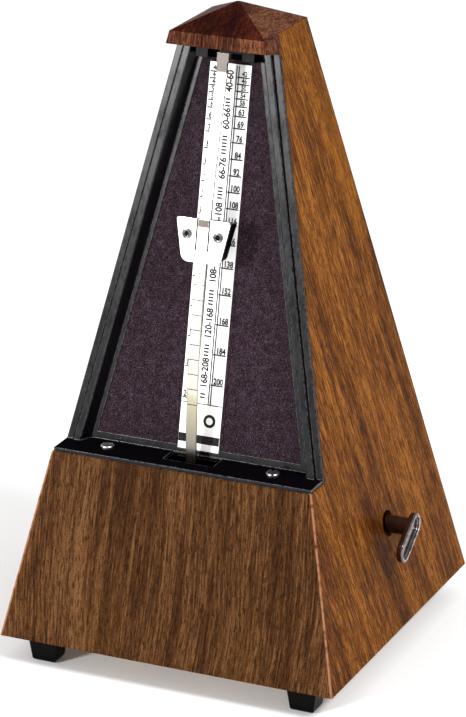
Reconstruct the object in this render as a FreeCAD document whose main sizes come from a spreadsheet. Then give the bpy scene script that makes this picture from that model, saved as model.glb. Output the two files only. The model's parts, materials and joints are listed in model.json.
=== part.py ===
"""Pendulum metronome in a pyramid-shaped wooden case, its front cover taken off.

Frame: millimetres, +Z up, origin on the floor at the centre of the square base.
The front faces -Y and the winding key is on the +X side.

Three local frames are used:
  slope  x across, y = depth behind the case's sloping front face, z = up along that face
  swing  x across, y = depth behind the pendulum rod's front face, z = up the rod from its pivot
  train  wheels turn about axes along X, and each wheel is drawn about its own axis
"""
import FreeCAD
import Part
import Sketcher
import math
import os
from FreeCAD import Placement, Rotation, Vector

X_AXIS = Vector(1, 0, 0)
Y_AXIS = Vector(0, 1, 0)
Z_AXIS = Vector(0, 0, 1)

# Driving dimensions: alias, value in mm (degrees or a plain count where the note says so), note.
DIMENSIONS = [
    ("base_half", 57.5, "half the width of the square base"),
    ("foot_rise", 9.5, "height of the case's bottom edge above the floor"),
    ("eave_half", 16.1, "half the width of the case at the eaves"),
    ("eave_rise", 193.9, "eaves above the case's bottom edge"),
    ("roof_rise", 7.2, "height of the little pyramid roof"),
    ("roof_tip_half", 0.35, "half the width of the roof's blunt tip"),
    ("wall_run", 5.1, "panel thickness measured level"),
    ("ledge_rise", 60.7, "top of the lower front panel above the bottom edge"),
    ("notch_depth", 10.4, "side panels' front edges behind the front face"),
    ("fascia_along", 194.2, "underside of the roof's front block, along the slope"),
    ("board_thick", 4.0, "bottom board thickness"),
    ("board_half", 51.4, "half the width of the bottom board"),
    ("cleat_height", 8.0, "bottom cleat height"),
    ("foot_long", 10.4, "foot size across"),
    ("foot_deep", 8.4, "foot size front to back"),
    ("foot_side", 45.0, "foot centre from the middle, across"),
    ("foot_front", 48.4, "foot centre from the middle, front to back"),
    ("flange_depth", 9.5, "face of the scale frame's outer flange behind the front face"),
    ("rib_depth", 8.75, "face of the scale frame's rib behind the front face"),
    ("lip_depth", 12.9, "face of the lip around the backplate"),
    ("plate_depth", 13.3, "face of the backplate"),
    ("plate_thick", 1.5, "backplate thickness"),
    ("ledge_thick", 1.2, "thickness of the frame's ledge"),
    ("scale_half", 7.0, "half the width of the scale plate"),
    ("scale_low", 67.5, "bottom of the scale plate along the slope"),
    ("scale_high", 189.4, "top of the scale plate along the slope"),
    ("scale_depth", 12.7, "face of the scale plate behind the front face"),
    ("scale_thick", 0.4, "scale plate thickness"),
    ("slot_half", 8.6, "half the width of the ledge's slot for the rod"),
    ("pivot_rise", 60.0, "pendulum pivot above the floor"),
    ("rod_at_ledge", -35.6, "Y of the rod's front face at the top of the front panel"),
    ("swing_tilt", 10.75, "degrees that the rod leans back"),
    ("rod_width", 3.6, "rod width"),
    ("rod_thick", 0.8, "rod thickness"),
    ("rod_above", 139.4, "rod length above the pivot"),
    ("rod_below", 37.0, "rod length below the pivot"),
    ("bob_radius", 12.5, "counterweight radius"),
    ("bob_thick", 12.0, "counterweight thickness"),
    ("bob_drop", 31.0, "counterweight centre below the pivot"),
    ("bob_front", -2.8, "counterweight's front face behind the rod's front face"),
    ("weight_low", 74.5, "sliding weight's lower edge above the pivot, as set"),
    ("weight_height", 13.6, "sliding weight height"),
    ("weight_top_half", 9.2, "half its front plate's width at the top"),
    ("weight_low_half", 6.5, "half its front plate's width at the bottom"),
    ("weight_reach", 5.0, "its front face ahead of the rod's front face"),
    ("weight_plate", 1.0, "its front plate's thickness"),
    ("weight_back", 1.15, "its back face behind the rod's front face"),
    ("winder_y", 5.0, "Y of the winding arbor"),
    ("winder_z", 43.0, "height of the winding arbor above the floor"),
    ("escape_y", -18.0, "Y of the escape wheel's centre, on the verge's line"),
    ("gear_module", 0.5, "pitch diameter per tooth"),
    ("barrel_teeth", 60, "teeth on the spring barrel"),
    ("mid_leaves", 10, "leaves on the intermediate pinion"),
    ("mid_teeth", 48, "teeth on the intermediate wheel"),
    ("escape_leaves", 8, "leaves on the escape pinion"),
    ("escape_teeth", 15, "teeth on the crown escape wheel"),
    ("ratchet_teeth", 24, "teeth on the ratchet wheel"),
    ("inner_plate_x", 10.0, "left face of the inner movement plate"),
    ("outer_plate_x", 28.0, "left face of the outer movement plate"),
    ("frame_thick", 1.5, "movement plate thickness"),
    ("key_bore", 2.0, "radius of the winding arbor and the key's bore"),
    ("key_radius", 2.95, "radius of the key's barrel"),
    ("key_hole", 4.2, "radius of the key hole in the right panel"),
    ("key_back", 57.7, "X of the back of the key's lever"),
    ("key_thick", 2.1, "thickness of the key's lever"),
    ("key_end", 3.95, "radius of the key lever's ends"),
    ("key_half", 8.95, "half the length of the key's lever"),
    ("key_offset", 4.05, "lever's middle from the winding axis"),
    ("key_turn", 34.0, "degrees that the lever's long end points below level"),
]

doc = FreeCAD.newDocument("metronome")
sheet = doc.addObject("Spreadsheet::Sheet", "dims")
for row, (alias, number, note) in enumerate(DIMENSIONS, start=1):
    sheet.set(f"A{row}", note)
    sheet.set(f"B{row}", str(number))
    sheet.setAlias(f"B{row}", alias)
doc.recompute()

nodes = []


def dim(alias):
    """Value of one driving dimension."""
    return float(sheet.get(alias))


def keep(item, label):
    """Give a finished sub-part its node name."""
    item.Label = label
    nodes.append(item)
    return item


def bind(item, prop, formula):
    """Tie a property to the sheet; a bare alias or a formula of dims.alias terms is accepted."""
    item.setExpression(prop, formula if "dims." in formula else f"dims.{formula}")


# ---------------------------------------------------------------- derived sizes and frames

SLOPE_RUN = (dim("base_half") - dim("eave_half")) / dim("eave_rise")
SLOPE = math.degrees(math.atan(SLOPE_RUN))
SLOPE_COS = math.cos(math.radians(SLOPE))
SLOPE_SIN = math.sin(math.radians(SLOPE))
LEDGE_Z = dim("foot_rise") + dim("ledge_rise")
EAVE_Z = dim("foot_rise") + dim("eave_rise")

slope_frame = Placement(Vector(0, -dim("base_half"), dim("foot_rise")), Rotation(X_AXIS, -SLOPE))

TILT = math.radians(dim("swing_tilt"))
pivot_y = dim("rod_at_ledge") + (dim("pivot_rise") - LEDGE_Z) * math.tan(TILT)
swing_frame = Placement(Vector(0, pivot_y, dim("pivot_rise")), Rotation(X_AXIS, -dim("swing_tilt")))

# The verge (the pendulum's arbor) runs along the swing frame's y axis through the pivot.
escape_depth = (dim("escape_y") - pivot_y) / math.cos(TILT)
escape_z = dim("pivot_rise") - escape_depth * math.sin(TILT)
barrel_radius = dim("gear_module") * dim("barrel_teeth") / 2
mid_pinion_radius = dim("gear_module") * dim("mid_leaves") / 2
mid_wheel_radius = dim("gear_module") * dim("mid_teeth") / 2
escape_pinion_radius = dim("gear_module") * dim("escape_leaves") / 2


def meeting_point(centre_a, reach_a, centre_b, reach_b):
    """Lower of the two points at the given distances from two centres, as (y, z)."""
    gap_y = centre_b[0] - centre_a[0]
    gap_z = centre_b[1] - centre_a[1]
    gap = math.hypot(gap_y, gap_z)
    along = (reach_a ** 2 - reach_b ** 2 + gap ** 2) / (2 * gap)
    aside = math.sqrt(reach_a ** 2 - along ** 2)
    unit_y, unit_z = gap_y / gap, gap_z / gap
    return (centre_a[0] + along * unit_y - aside * unit_z, centre_a[1] + along * unit_z + aside * unit_y)


WINDER = (dim("winder_y"), dim("winder_z"))
ESCAPE = (dim("escape_y"), escape_z)
MIDDLE = meeting_point(WINDER, barrel_radius + mid_pinion_radius,
                       ESCAPE, mid_wheel_radius + escape_pinion_radius)


def half_width(rise):
    """Half the case's outer width at a height above its bottom edge."""
    return dim("base_half") - SLOPE_RUN * rise


def along_slope(rise, depth):
    """Distance up the slope of a point at a given height and depth behind the front face."""
    return (rise + depth * SLOPE_SIN) / SLOPE_COS


def slope_half(along, depth):
    """Half the case's outer width at a point of the slope frame."""
    return half_width(along * SLOPE_COS - depth * SLOPE_SIN)


# ---------------------------------------------------------------- building blocks


def box(name, sizes, corner, frame=Placement()):
    """Part::Box with its sizes tied to the sheet, its low corner at a point of a frame."""
    item = doc.addObject("Part::Box", name)
    for prop, formula in zip(("Length", "Width", "Height"), sizes):
        if isinstance(formula, str):
            bind(item, prop, formula)
        else:
            setattr(item, prop, formula)
    item.Placement = frame.multiply(Placement(Vector(*corner), Rotation()))
    return item


def rod_along(name, radius, length, start, axis, frame=Placement()):
    """Part::Cylinder from a start point along an axis of a frame."""
    item = doc.addObject("Part::Cylinder", name)
    for prop, formula in (("Radius", radius), ("Height", length)):
        if isinstance(formula, str):
            bind(item, prop, formula)
        else:
            setattr(item, prop, formula)
    item.Placement = frame.multiply(Placement(Vector(*start), Rotation(Z_AXIS, axis)))
    return item


def cut(name, base, tool):
    """Part::Cut of two objects."""
    item = doc.addObject("Part::Cut", name)
    item.Base = base
    item.Tool = tool
    return item


def common(name, base, tool):
    """Part::Common of two objects."""
    item = doc.addObject("Part::Common", name)
    item.Base = base
    item.Tool = tool
    return item


def fuse(name, items):
    """Part::MultiFuse of several objects."""
    item = doc.addObject("Part::MultiFuse", name)
    item.Shapes = items
    return item


def feature(name, shape, frame=Placement()):
    """Part::Feature for a shape made with Part's own functions."""
    item = doc.addObject("Part::Feature", name)
    item.Shape = shape
    item.Placement = frame
    return item


def frustum(name, low_half, high_half, rise, base_z):
    """Square frustum standing on a level plane, as a Part::Wedge turned upright."""
    item = doc.addObject("Part::Wedge", name)
    item.Ymin = 0
    bind(item, "Ymax", rise)
    for low, high, half in (("Xmin", "Xmax", low_half), ("Zmin", "Zmax", low_half),
                            ("X2min", "X2max", high_half), ("Z2min", "Z2max", high_half)):
        item.setExpression(low, f"-({half})")
        item.setExpression(high, half)
    item.Placement = Placement(Vector(0, 0, base_z), Rotation(X_AXIS, 90))
    return item


def drilled(name, item, radius, starts, axis, length, frame=Placement()):
    """An object less a set of equal holes that start at the given points."""
    bits = doc.addObject("Part::Compound", f"{name}_bits")
    bits.Links = [rod_along(f"{name}_bit_{number}", radius, length, start, axis, frame)
                  for number, start in enumerate(starts, start=1)]
    return cut(name, item, bits)


def polygon_prism(points, direction):
    """Solid swept from a closed polygon along a vector."""
    corners = [Vector(*point) for point in points]
    face = Part.Face(Part.makePolygon(corners + corners[:1]))
    return face.extrude(Vector(*direction))


def new_body(name, frame=Placement()):
    """Empty PartDesign body in a frame."""
    body = doc.addObject("PartDesign::Body", name)
    body.Placement = frame
    return body


def new_sketch(body, name, plane, offset=0.0):
    """Sketch on one of the body's own origin planes, moved along the plane's normal."""
    sketch = body.newObject("Sketcher::SketchObject", name)
    origin_plane = [item for item in body.Origin.OriginFeatures if item.Role == plane][0]
    sketch.AttachmentSupport = [(origin_plane, "")]
    sketch.MapMode = "FlatFace"
    sketch.AttachmentOffset = Placement(Vector(0, 0, offset), Rotation())
    return sketch


def draw_circle(sketch, radius, centre=(0, 0)):
    """Circle with its radius tied to the sheet."""
    value = dim(radius) if isinstance(radius, str) else radius
    index = sketch.addGeometry(Part.Circle(Vector(centre[0], centre[1], 0), Z_AXIS, value))
    number = sketch.addConstraint(Sketcher.Constraint("Radius", index, value))
    sketch.addConstraint(Sketcher.Constraint("DistanceX", -1, 1, index, 3, centre[0]))
    sketch.addConstraint(Sketcher.Constraint("DistanceY", -1, 1, index, 3, centre[1]))
    if isinstance(radius, str):
        sketch.setExpression(f"Constraints[{number}]", f"dims.{radius}")


def draw_outline(sketch, points):
    """Closed outline of straight lines, its corners held where they are drawn."""
    first = sketch.GeometryCount
    count = len(points)
    for index, (x, y) in enumerate(points):
        after = points[(index + 1) % count]
        sketch.addGeometry(Part.LineSegment(Vector(x, y, 0), Vector(after[0], after[1], 0)))
    for index in range(count):
        sketch.addConstraint(Sketcher.Constraint("Coincident", first + index, 2,
                                                 first + (index + 1) % count, 1))
    for index, (x, y) in enumerate(points):
        sketch.addConstraint(Sketcher.Constraint("DistanceX", -1, 1, first + index, 1, x))
        sketch.addConstraint(Sketcher.Constraint("DistanceY", -1, 1, first + index, 1, y))


def rectangle(half_across, low, high):
    """Corners of an upright rectangle centred across."""
    return [(-half_across, low), (half_across, low), (half_across, high), (-half_across, high)]


def pad(body, sketch, length, name, backwards=False):
    """Pad a sketch by a length tied to the sheet."""
    item = body.newObject("PartDesign::Pad", name)
    item.Profile = sketch
    if isinstance(length, str):
        bind(item, "Length", length)
    else:
        item.Length = length
    item.Reversed = backwards
    return item


def pocket(body, sketch, length, name, backwards=False):
    """Pocket a sketch, checking that it really removes material."""
    doc.recompute()
    before = body.Shape.Volume
    item = body.newObject("PartDesign::Pocket", name)
    item.Profile = sketch
    item.Length = length
    item.Reversed = backwards
    doc.recompute()
    if body.Shape.Volume > before - 1e-4:
        raise RuntimeError(f"pocket {name} removed nothing")
    return item


# ---------------------------------------------------------------- wooden case

outer_case = frustum("outer_case", "dims.base_half", "dims.eave_half", "eave_rise", dim("foot_rise"))
inner_case = frustum("inner_case", "dims.base_half - dims.wall_run", "dims.eave_half - dims.wall_run",
                     "eave_rise", dim("foot_rise"))
case_shell = cut("case_shell", outer_case, inner_case)

BIG = 3 * dim("base_half")
above_ledge = box("above_ledge", (2 * BIG, 2 * BIG, BIG * 2), (-BIG, -BIG, LEDGE_Z))
front_slab = box("front_slab", (2 * BIG, dim("notch_depth") + BIG, BIG * 2), (-BIG, -BIG, -BIG / 2), slope_frame)
front_notch = common("front_notch", front_slab, above_ledge)


def mitre_sector(name, middle_angle):
    """Quarter of the plan between two mitre planes, about a compass direction."""
    item = doc.addObject("Part::Cylinder", name)
    item.Radius = BIG
    bind(item, "Height", "eave_rise")
    item.Angle = 90
    turned = Rotation(Z_AXIS, middle_angle - 45)
    item.Placement = Placement(Vector(0, 0, dim("foot_rise")), turned)
    return item


def wall(label, middle_angle, opening):
    """One mitred panel of the case, less an opening."""
    blank = common(f"{label}_blank", case_shell, mitre_sector(f"{label}_sector", middle_angle))
    return cut(label, blank, opening) if opening else blank


keep(wall("left_panel", 180, front_notch), "left_panel")
keep(wall("back_panel", 90, None), "back_panel")
keep(wall("front_panel", 270, above_ledge), "front_panel")
key_hole_drill = rod_along("key_hole_drill", "key_hole", 30.0, (35.0, *WINDER), X_AXIS)
drilled_side = cut("right_panel_blank_drilled", wall("right_panel_notched", 0, front_notch), key_hole_drill)
keep(drilled_side, "right_panel")


def make_roof():
    """Pyramid roof with the front block that closes the top of the recess."""
    pyramid = frustum("roof_pyramid", "dims.eave_half", "dims.roof_tip_half", "roof_rise", EAVE_Z)
    block_space = box("fascia_space", (2 * BIG, dim("notch_depth") + 5, BIG),
                      (-BIG, -5, dim("fascia_along")), slope_frame)
    fascia = common("fascia", outer_case, block_space)
    return fuse("roof", [pyramid, fascia])


keep(make_roof(), "roof_cap")


FOOT_PLACES = [(side * dim("foot_side"), end * dim("foot_front")) for end in (-1, 1) for side in (-1, 1)]
BOARD_SCREWS = [(x, y) for x in (-46.0, 46.0) for y in (-24.0, 24.0)]
FLANGE_REACH = 9.0
FLANGE_SCREWS_X = (dim("inner_plate_x") - FLANGE_REACH / 2,
                   dim("outer_plate_x") + dim("frame_thick") + FLANGE_REACH / 2)
FLANGE_SCREWS_Y = (-16.0, 10.0)
MOVEMENT_SCREWS = [(x, y) for x in FLANGE_SCREWS_X for y in FLANGE_SCREWS_Y]
WOOD_SCREW = 1.3


def make_bottom_board():
    """Bottom board with its holes for the foot, cleat and movement screws."""
    body = new_body("bottom_board_body", Placement(Vector(0, 0, dim("foot_rise")), Rotation()))
    half = dim("board_half")
    outline = new_sketch(body, "board_outline", "XY_Plane")
    draw_outline(outline, rectangle(half, -half, half))
    pad(body, outline, "board_thick", "board_pad")
    holes = new_sketch(body, "board_holes", "XY_Plane")
    for centre in FOOT_PLACES + BOARD_SCREWS + MOVEMENT_SCREWS:
        draw_circle(holes, WOOD_SCREW, centre)
    pocket(body, holes, dim("board_thick"), "board_drill", backwards=True)
    return body


keep(make_bottom_board(), "bottom_board")

for side, name in ((-1, "left_cleat"), (1, "right_cleat")):
    cleat_box = box(f"{name}_box", (20.0, 70.0, "cleat_height"),
                    (41.0 if side > 0 else -61.0, -35.0, dim("foot_rise") + dim("board_thick")))
    cleat = common(f"{name}_blank", cleat_box, inner_case)
    starts = [(x, y, dim("foot_rise")) for x, y in BOARD_SCREWS if x * side > 0]
    keep(drilled(name, cleat, WOOD_SCREW, starts, Z_AXIS, 9.0), name)

FRAME_SCREW_X = 28.5
FRAME_SCREW_Y = -37.3
FRAME_SCREW_REACH = 8.0
for side, name in ((-1, "left_ledge_block"), (1, "right_ledge_block")):
    block_box = box(f"{name}_box", (14.0, 20.0, 10.0),
                    (FRAME_SCREW_X * side - 6.5, -52.0, LEDGE_Z - 10.0))
    block = common(f"{name}_blank", block_box, inner_case)
    pilot_z = LEDGE_Z + dim("ledge_thick") - FRAME_SCREW_REACH
    keep(drilled(name, block, WOOD_SCREW, [(FRAME_SCREW_X * side, FRAME_SCREW_Y, pilot_z)], Z_AXIS, 12.0), name)


def make_foot(label, across, along):
    """Tapered foot with rounded lower edges and a recess for its screw."""
    body = new_body(f"{label}_body", Placement(Vector(across, along, 0), Rotation()))
    long_half = dim("foot_long") / 2
    deep_half = dim("foot_deep") / 2
    top = new_sketch(body, f"{label}_top", "XY_Plane", dim("foot_rise"))
    draw_outline(top, rectangle(long_half, -deep_half, deep_half))
    middle = new_sketch(body, f"{label}_middle", "XY_Plane")
    draw_outline(middle, rectangle(long_half - 1.3, -deep_half + 0.8, deep_half - 0.8))
    loft = body.newObject("PartDesign::AdditiveLoft", f"{label}_loft")
    loft.Profile = top
    loft.Sections = [middle]
    loft.Ruled = True
    doc.recompute()
    low_edges = [f"Edge{number}" for number, edge in enumerate(body.Shape.Edges, start=1)
                 if edge.BoundBox.ZMax < 0.01]
    rounding = body.newObject("PartDesign::Fillet", f"{label}_rounding")
    rounding.Base = (loft, low_edges)
    rounding.Radius = 1.4
    doc.recompute()
    recess = new_sketch(body, f"{label}_recess", "XY_Plane")
    draw_circle(recess, 1.75)
    pocket(body, recess, 4.0, f"{label}_recess_cut", backwards=True)
    hole = new_sketch(body, f"{label}_hole", "XY_Plane")
    draw_circle(hole, WOOD_SCREW)
    pocket(body, hole, 12.0, f"{label}_hole_cut", backwards=True)
    return keep(body, label)


FOOT_NAMES = ["foot_front_left", "foot_front_right", "foot_back_left", "foot_back_right"]
for foot_name, (foot_x, foot_y) in zip(FOOT_NAMES, FOOT_PLACES):
    make_foot(foot_name, foot_x, foot_y)


# ---------------------------------------------------------------- screws


def screw_shape(head_radius, head_height, shank_radius, shank_length):
    """Slotted cheese-head screw along +Z, its head's underside at z = 0 and its shank below."""
    head = Part.makeCylinder(head_radius, head_height)
    rim = [edge for edge in head.Edges if abs(edge.BoundBox.ZMin - head_height) < 1e-6]
    head = head.makeFillet(head_height * 0.45, rim)
    slot_depth = head_height * 0.45
    slot = Part.makeBox(2.2 * head_radius, head_radius * 0.28, slot_depth + 1,
                        Vector(-1.1 * head_radius, -0.14 * head_radius, head_height - slot_depth))
    shank = Part.makeCylinder(shank_radius, shank_length, Vector(0, 0, -shank_length))
    return head.cut(slot).fuse(shank)


def screw_group(label, shape, placements):
    """Identical screws as one node of separate solids."""
    placed = []
    for place in placements:
        copy = shape.copy()
        copy.Placement = place
        placed.append(copy)
    return keep(feature(f"{label}_group", Part.makeCompound(placed)), label)


UPSIDE_DOWN = Rotation(X_AXIS, 180)
screw_group("foot_screws", screw_shape(1.65, 1.2, WOOD_SCREW, 9.0),
            [Placement(Vector(x, y, 4.0), UPSIDE_DOWN) for x, y in FOOT_PLACES])
screw_group("board_screws", screw_shape(2.4, 1.3, WOOD_SCREW, 9.0),
            [Placement(Vector(x, y, dim("foot_rise")), UPSIDE_DOWN) for x, y in BOARD_SCREWS])


# ---------------------------------------------------------------- scale frame and scale


def rail_prism(side, profile, low, high):
    """Bar along one sloping edge; the profile lists (inset from the case's side, depth) corners."""
    points = [(side * (slope_half(low, depth) - inset), depth, low) for inset, depth in profile]
    rise = high - low
    return polygon_prism(points, (-side * SLOPE_RUN * SLOPE_COS * rise, 0, rise))


def ledge_solid():
    """Level ledge: full width over the front panel's edge, then narrower between the side panels."""
    low = dim("ledge_rise")
    high = low + dim("ledge_thick")
    front_y = -dim("base_half") + SLOPE_RUN * high + 0.5
    notch_y = front_y + dim("notch_depth") / SLOPE_COS - 0.6
    back_y = front_y + (dim("plate_depth") + dim("plate_thick")) / SLOPE_COS - 0.5
    wide = half_width(high) - 0.15
    narrow = half_width(high) - dim("wall_run") - 0.1
    outline = [(-wide, front_y), (wide, front_y), (wide, notch_y), (narrow, notch_y),
               (narrow, back_y), (-narrow, back_y), (-narrow, notch_y), (-wide, notch_y)]
    base = dim("foot_rise") + low
    plate = polygon_prism([(x, y, base) for x, y in outline], (0, 0, dim("ledge_thick")))
    slot_half = dim("slot_half")
    slot_front = front_y + 5.2
    slot_back = front_y + 12.4
    slot = Part.makeBox(2 * slot_half, slot_back - slot_front, 10, Vector(-slot_half, slot_front, base - 4))
    holes = [Part.makeCylinder(1.35, 10, Vector(x, FRAME_SCREW_Y, base - 4))
             for x in (-FRAME_SCREW_X, FRAME_SCREW_X)]
    return plate.cut(slot).cut(Part.makeCompound(holes))


def make_scale_frame():
    """Moulded frame: two rails, the ledge below them, and a lip around the backplate."""
    notch = dim("notch_depth")
    flange = dim("flange_depth")
    rib = dim("rib_depth")
    lip = dim("lip_depth")
    plate = dim("plate_depth")
    back = plate + dim("plate_thick") + 0.2
    inner_wall = dim("wall_run") + 0.15
    rail_profile = [(0.1, notch), (0.1, flange + 0.2), (0.3, flange), (2.2, flange), (2.45, flange + 0.5),
                    (2.75, rib + 0.15), (3.0, rib), (4.9, rib), (5.25, rib + 0.3), (7.2, lip), (8.5, lip),
                    (8.5, plate), (7.0, plate), (7.0, back), (inner_wall, back), (inner_wall, notch)]
    low = along_slope(dim("ledge_rise"), 0) - 2
    top = dim("fascia_along")
    rails = [rail_prism(side, rail_profile, low, top) for side in (-1, 1)]
    ledge_top = dim("ledge_rise") + dim("ledge_thick")
    lip_low = along_slope(ledge_top, lip) - 1.0
    lip_high = dim("scale_low") + 0.9
    reach = slope_half(lip_low, lip) - 7.0
    lip_bar = Part.makeBox(2 * reach, plate - lip, lip_high - lip_low, Vector(-reach, lip, lip_low))
    moulding = rails[0].fuse([rails[1], lip_bar])
    moulding.Placement = slope_frame
    moulding = moulding.cut(Part.makeBox(400, 400, 200, Vector(-200, -200, LEDGE_Z - 200)))
    shape = moulding.fuse(ledge_solid()).removeSplitter()
    window_half = dim("scale_half") + 0.15
    window = Part.makeBox(2 * window_half, 1.0, 20, Vector(-window_half, lip - 0.5, dim("scale_low") - 0.1))
    window.Placement = slope_frame
    return feature("scale_frame_moulding", shape.cut(window))


keep(make_scale_frame(), "scale_frame")

screw_group("frame_screws", screw_shape(2.15, 1.2, WOOD_SCREW, FRAME_SCREW_REACH),
            [Placement(Vector(side * FRAME_SCREW_X, FRAME_SCREW_Y, LEDGE_Z + dim("ledge_thick")),
                       Rotation(Z_AXIS, turn)) for side, turn in ((-1, 25), (1, -70))])


def make_backplate():
    """Textured panel behind the pendulum, with the raised strip that carries the scale."""
    front = dim("plate_depth")
    thick = dim("plate_thick")
    low = along_slope(dim("ledge_rise") + dim("ledge_thick"), front + thick) + 0.05
    high = dim("fascia_along") - 0.1
    inset = 7.1
    low_half = slope_half(low, front) - inset
    high_half = slope_half(high, front) - inset
    outline = [(-low_half, front, low), (low_half, front, low), (high_half, front, high), (-high_half, front, high)]
    panel = polygon_prism(outline, (0, thick, 0))
    strip_half = dim("scale_half") + 1.0
    strip_front = dim("scale_depth") + dim("scale_thick")
    strip = Part.makeBox(2 * strip_half, front - strip_front, high - dim("scale_low") - 1.0,
                         Vector(-strip_half, strip_front, dim("scale_low") + 1.0))
    return feature("backplate_panel", panel.fuse(strip).removeSplitter(), slope_frame)


keep(make_backplate(), "backplate")


def make_scale_plate():
    """Printed metal scale behind the rod."""
    body = new_body("scale_plate_body", slope_frame)
    outline = new_sketch(body, "scale_outline", "XZ_Plane", -dim("scale_depth"))
    draw_outline(outline, rectangle(dim("scale_half"), dim("scale_low"), dim("scale_high")))
    pad(body, outline, "scale_thick", "scale_pad", backwards=True)
    return keep(body, "scale_plate")


make_scale_plate()


def make_rod_catch():
    """Block below the roof with a gap that the rod's tip is pressed into for storage."""
    low = dim("scale_high") + 1.4
    high = dim("fascia_along")
    front = 7.4
    back = dim("lip_depth") - 0.02
    half = slope_half(high, front) - 7.4
    body = new_body("rod_catch_body", slope_frame)
    outline = new_sketch(body, "catch_outline", "XZ_Plane", -front)
    draw_outline(outline, rectangle(half, low, high))
    pad(body, outline, back - front, "catch_pad", backwards=True)
    gap = new_sketch(body, "catch_gap", "XZ_Plane", -front)
    draw_outline(gap, rectangle(5.8, low - 1, high + 1))
    pocket(body, gap, back - front - 1.6, "catch_gap_cut")
    return body


keep(make_rod_catch(), "rod_catch")


# ---------------------------------------------------------------- pendulum


def make_rod():
    """Flat steel rod with a wider head that stops the weight from sliding off."""
    half = dim("rod_width") / 2
    body = new_body("pendulum_rod_body", swing_frame)
    outline = new_sketch(body, "rod_outline", "XZ_Plane")
    top = dim("rod_above")
    low = -dim("rod_below")
    head_low = top - 3.0
    draw_outline(outline, [(-half, low), (half, low), (half, head_low), (half + 0.35, head_low + 0.5),
                           (half + 0.35, top), (-half - 0.35, top), (-half - 0.35, head_low + 0.5),
                           (-half, head_low)])
    pad(body, outline, "rod_thick", "rod_pad", backwards=True)
    return body


keep(make_rod(), "pendulum_rod")


BOB_SCREW = 1.2


def make_counterweight():
    """Brass disc below the pivot, slotted for the rod."""
    body = new_body("counterweight_body",
                    swing_frame.multiply(Placement(Vector(0, 0, -dim("bob_drop")), Rotation())))
    disc = new_sketch(body, "bob_disc", "XZ_Plane", -dim("bob_front"))
    draw_circle(disc, "bob_radius")
    pad(body, disc, "bob_thick", "bob_pad", backwards=True)
    doc.recompute()
    rims = [f"Edge{number}" for number, edge in enumerate(body.Shape.Edges, start=1)
            if isinstance(edge.Curve, Part.Circle)]
    solid = body.Tip
    bevel = body.newObject("PartDesign::Chamfer", "bob_chamfer")
    bevel.Base = (solid, rims)
    bevel.Size = 0.8
    doc.recompute()
    slot = new_sketch(body, "bob_slot", "XZ_Plane")
    low = dim("bob_drop") - dim("rod_below")
    draw_outline(slot, rectangle(dim("rod_width") / 2, low, dim("bob_radius") + 2))
    pocket(body, slot, dim("rod_thick"), "bob_slot_cut")
    tapped = new_sketch(body, "bob_tapped_hole", "XZ_Plane", -dim("bob_front"))
    draw_circle(tapped, BOB_SCREW)
    pocket(body, tapped, -dim("bob_front"), "bob_tapped_cut")
    return body


keep(make_counterweight(), "counterweight")

bob_screw_shape = screw_shape(2.0, 1.1, BOB_SCREW, -dim("bob_front"))
bob_screw_place = swing_frame.multiply(
    Placement(Vector(0, dim("bob_front"), -dim("bob_drop")), Rotation(X_AXIS, 90)))
screw_group("counterweight_screw", bob_screw_shape, [bob_screw_place])

ARBOR_RADIUS = 0.9
ARBOR_FRONT = -1.0
ARBOR_BACK = escape_depth + 13.6
BEARING_OFFSET = 11.5
PALLET_OFFSET = 8.0

verge = rod_along("verge_bar", ARBOR_RADIUS, ARBOR_BACK - ARBOR_FRONT, (0, ARBOR_FRONT, 0), Y_AXIS, swing_frame)
keep(verge, "pendulum_arbor")


def make_rod_hub():
    """Collet that clamps the rod to its arbor."""
    flange = rod_along("hub_flange", 4.0, 1.4, (0, dim("rod_thick"), 0), Y_AXIS, swing_frame)
    sleeve = rod_along("hub_sleeve", 2.6, 4.4, (0, dim("rod_thick"), 0), Y_AXIS, swing_frame)
    bore = rod_along("hub_bore", ARBOR_RADIUS, 8.0, (0, 0, 0), Y_AXIS, swing_frame)
    return cut("hub", fuse("hub_blank", [flange, sleeve]), bore)


keep(make_rod_hub(), "rod_hub")

rod_body = nodes[[item.Label for item in nodes].index("pendulum_rod")]
arbor_hole = new_sketch(rod_body, "rod_arbor_hole", "XZ_Plane")
draw_circle(arbor_hole, ARBOR_RADIUS)
pocket(rod_body, arbor_hole, dim("rod_thick"), "rod_arbor_cut")

PALLET_REACH = 4.0
for end, turn, name in ((-1, 48, "front_pallet"), (1, -48, "rear_pallet")):
    middle = escape_depth + end * PALLET_OFFSET
    collar = rod_along(f"{name}_collar", 1.8, 2.4, (0, middle - 1.2, 0), Y_AXIS, swing_frame)
    bore = rod_along(f"{name}_bore", ARBOR_RADIUS, 4.0, (0, middle - 2.0, 0), Y_AXIS, swing_frame)
    blade_frame = swing_frame.multiply(Placement(Vector(), Rotation(Y_AXIS, turn)))
    blade = box(f"{name}_blade", (PALLET_REACH - 1.0, 2.4, 0.6), (1.0, middle - 1.2, -0.3), blade_frame)
    keep(cut(name, fuse(f"{name}_blank", [collar, blade]), bore), name)


# ---------------------------------------------------------------- sliding weight

WEIGHT_MIDDLE = dim("weight_low") + dim("weight_height") / 2
RIVET_X = 5.26
RIVET_Z = dim("weight_low") + dim("weight_height") - 5.0
RIVET_RADIUS = 1.15


def weight_outline(shrink):
    """Trapezoid of the weight, smaller all round by a margin."""
    low = dim("weight_low") + shrink
    high = dim("weight_low") + dim("weight_height") - shrink
    low_half = dim("weight_low_half") - shrink
    high_half = dim("weight_top_half") - shrink
    return [(-low_half, low), (low_half, low), (high_half, high), (-high_half, high)]


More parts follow.
